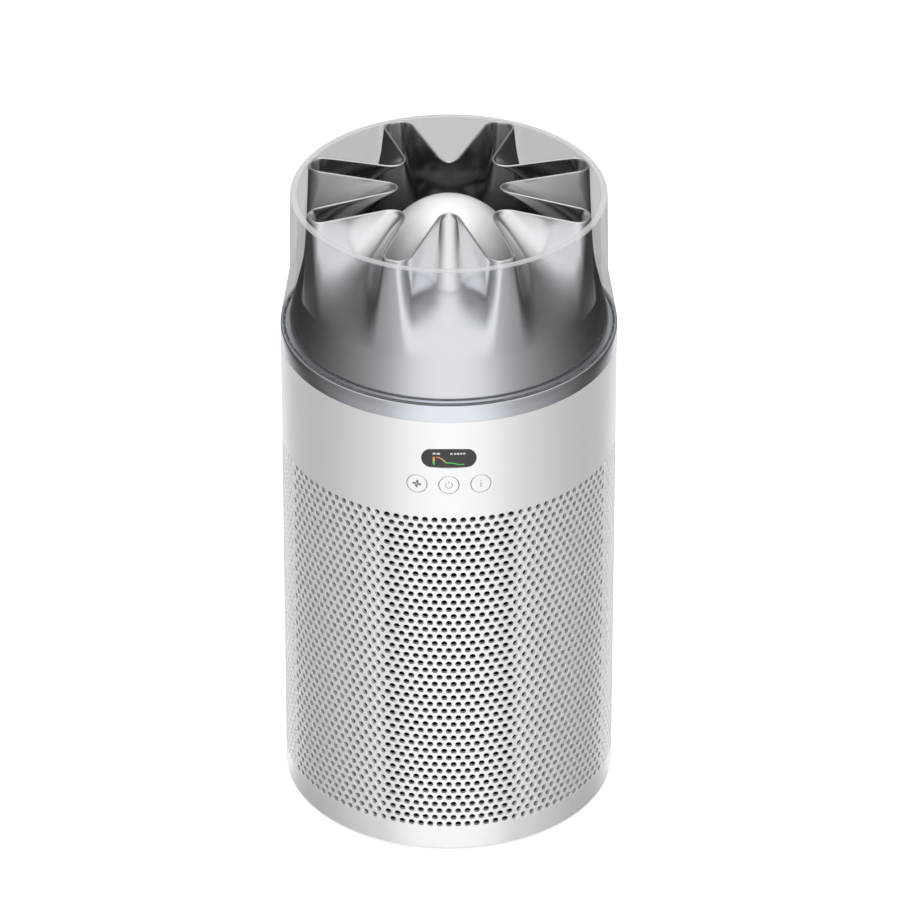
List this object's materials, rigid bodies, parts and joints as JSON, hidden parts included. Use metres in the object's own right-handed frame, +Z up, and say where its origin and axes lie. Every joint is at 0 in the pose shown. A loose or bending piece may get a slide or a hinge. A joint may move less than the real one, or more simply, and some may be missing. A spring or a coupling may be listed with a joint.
{
  "type": "air purifier",
  "caption": "Cylindrical air purifier with a perforated sleeve, a small display and buttons, and a clear jacket round a lobed air nozzle with a domed bullet on top.",
  "frame": {"origin": "centre of the underside of the foot ring, on the surface it stands on", "axes": "+Z up along the body's axis, front with the display towards -Y, +X to the right seen from the front"},
  "size_m": [0.23, 0.23, 0.4655],
  "materials": {
    "satin_silver_white": "satin silver-white",
    "bright_silver": "glossy metallised silver",
    "clear": "clear, polished",
    "nozzle_silver": "satin metallised silver",
    "bullet_silver": "satin silver-white",
    "black_rubber": "matte",
    "dark_plastic": "fine matte",
    "pale_plastic": "matte",
    "steel": "ground",
    "magnet": "sintered",
    "motor_can": "die cast",
    "laminations": "stacked sheet",
    "copper": "enamelled wire",
    "filter_paper": "pleated fibre, charcoal grey",
    "carbon": "granular",
    "dark_glass": "polished, dark",
    "board_green": "solder mask",
    "button_silver": "satin silver-white",
    "black_plastic": "moulded",
    "brass": "bare"
  },
  "bodies": {
    "housing": {"control_band": "satin_silver_white", "grille_panel_1": "satin_silver_white", "grille_panel_2": "satin_silver_white", "grille_panel_3": "satin_silver_white", "grille_panel_4": "satin_silver_white", "grille_panel_5": "satin_silver_white", "grille_panel_6": "satin_silver_white", "grille_panel_7": "satin_silver_white", "grille_panel_8": "satin_silver_white", "sleeve_foot": "satin_silver_white", "trim_ring": "bright_silver", "nozzle_jacket": "clear", "nozzle_lobe_1": "nozzle_silver", "nozzle_lobe_2": "nozzle_silver", "nozzle_lobe_3": "nozzle_silver", "nozzle_lobe_4": "nozzle_silver", "nozzle_lobe_5": "nozzle_silver", "nozzle_lobe_6": "nozzle_silver", "nozzle_lobe_7": "nozzle_silver", "nozzle_lobe_8": "nozzle_silver", "centre_bullet": "bullet_silver", "jacket_seal": "black_rubber", "fan_deck": "dark_plastic", "inlet_bellmouth": "dark_plastic", "fan_duct": "dark_plastic", "guide_vanes": "dark_plastic", "motor_damper": "black_rubber", "motor_housing": "motor_can", "motor_bearings": "steel", "motor_stator": "laminations", "stator_coils": "copper", "filter_media": "filter_paper", "carbon_layer": "carbon", "filter_top_cap": "pale_plastic", "filter_bottom_cap": "pale_plastic", "filter_seal": "black_rubber", "base_ring": "dark_plastic", "foot_ring": "black_rubber", "chassis_posts": "motor_can", "deck_screws": "steel", "base_screws": "steel", "display_lens": "dark_glass", "display_module": "black_plastic", "control_board": "board_green", "control_bracket": "dark_plastic", "button_switches": "black_plastic", "main_board": "board_green", "board_bracket": "dark_plastic", "air_quality_sensor": "black_plastic", "power_inlet": "black_plastic", "inlet_pins": "brass", "supply_lead": "black_rubber"},
    "fan_rotor": {"impeller": "pale_plastic", "motor_shaft": "steel", "rotor_magnet": "magnet"},
    "twist_cover": {"base_cover": "dark_plastic"},
    "fan_speed_key": {"fan_speed_button": "button_silver"},
    "power_key": {"power_button": "button_silver"},
    "info_key": {"info_button": "button_silver"}
  },
  "joints": [
    {"name": "fan_speed_press", "type": "slide", "parent": "housing", "child": "fan_speed_key", "axis": [0, 1, 0], "range_m": [0, 0.001], "stiffness_N_per_m": 600},
    {"name": "power_press", "type": "slide", "parent": "housing", "child": "power_key", "axis": [0, 1, 0], "range_m": [0, 0.001], "stiffness_N_per_m": 600},
    {"name": "info_press", "type": "slide", "parent": "housing", "child": "info_key", "axis": [0, 1, 0], "range_m": [0, 0.001], "stiffness_N_per_m": 600},
    {"name": "fan_spin", "type": "hinge", "parent": "housing", "child": "fan_rotor", "pos_m": [0, 0, 0.3], "axis": [0, 0, 1], "continuous": true},
    {"name": "cover_twist", "type": "hinge", "parent": "housing", "child": "twist_cover", "pos_m": [0, 0, 0.009], "axis": [0, 0, 1], "range_deg": [0, 30]}
  ]
}
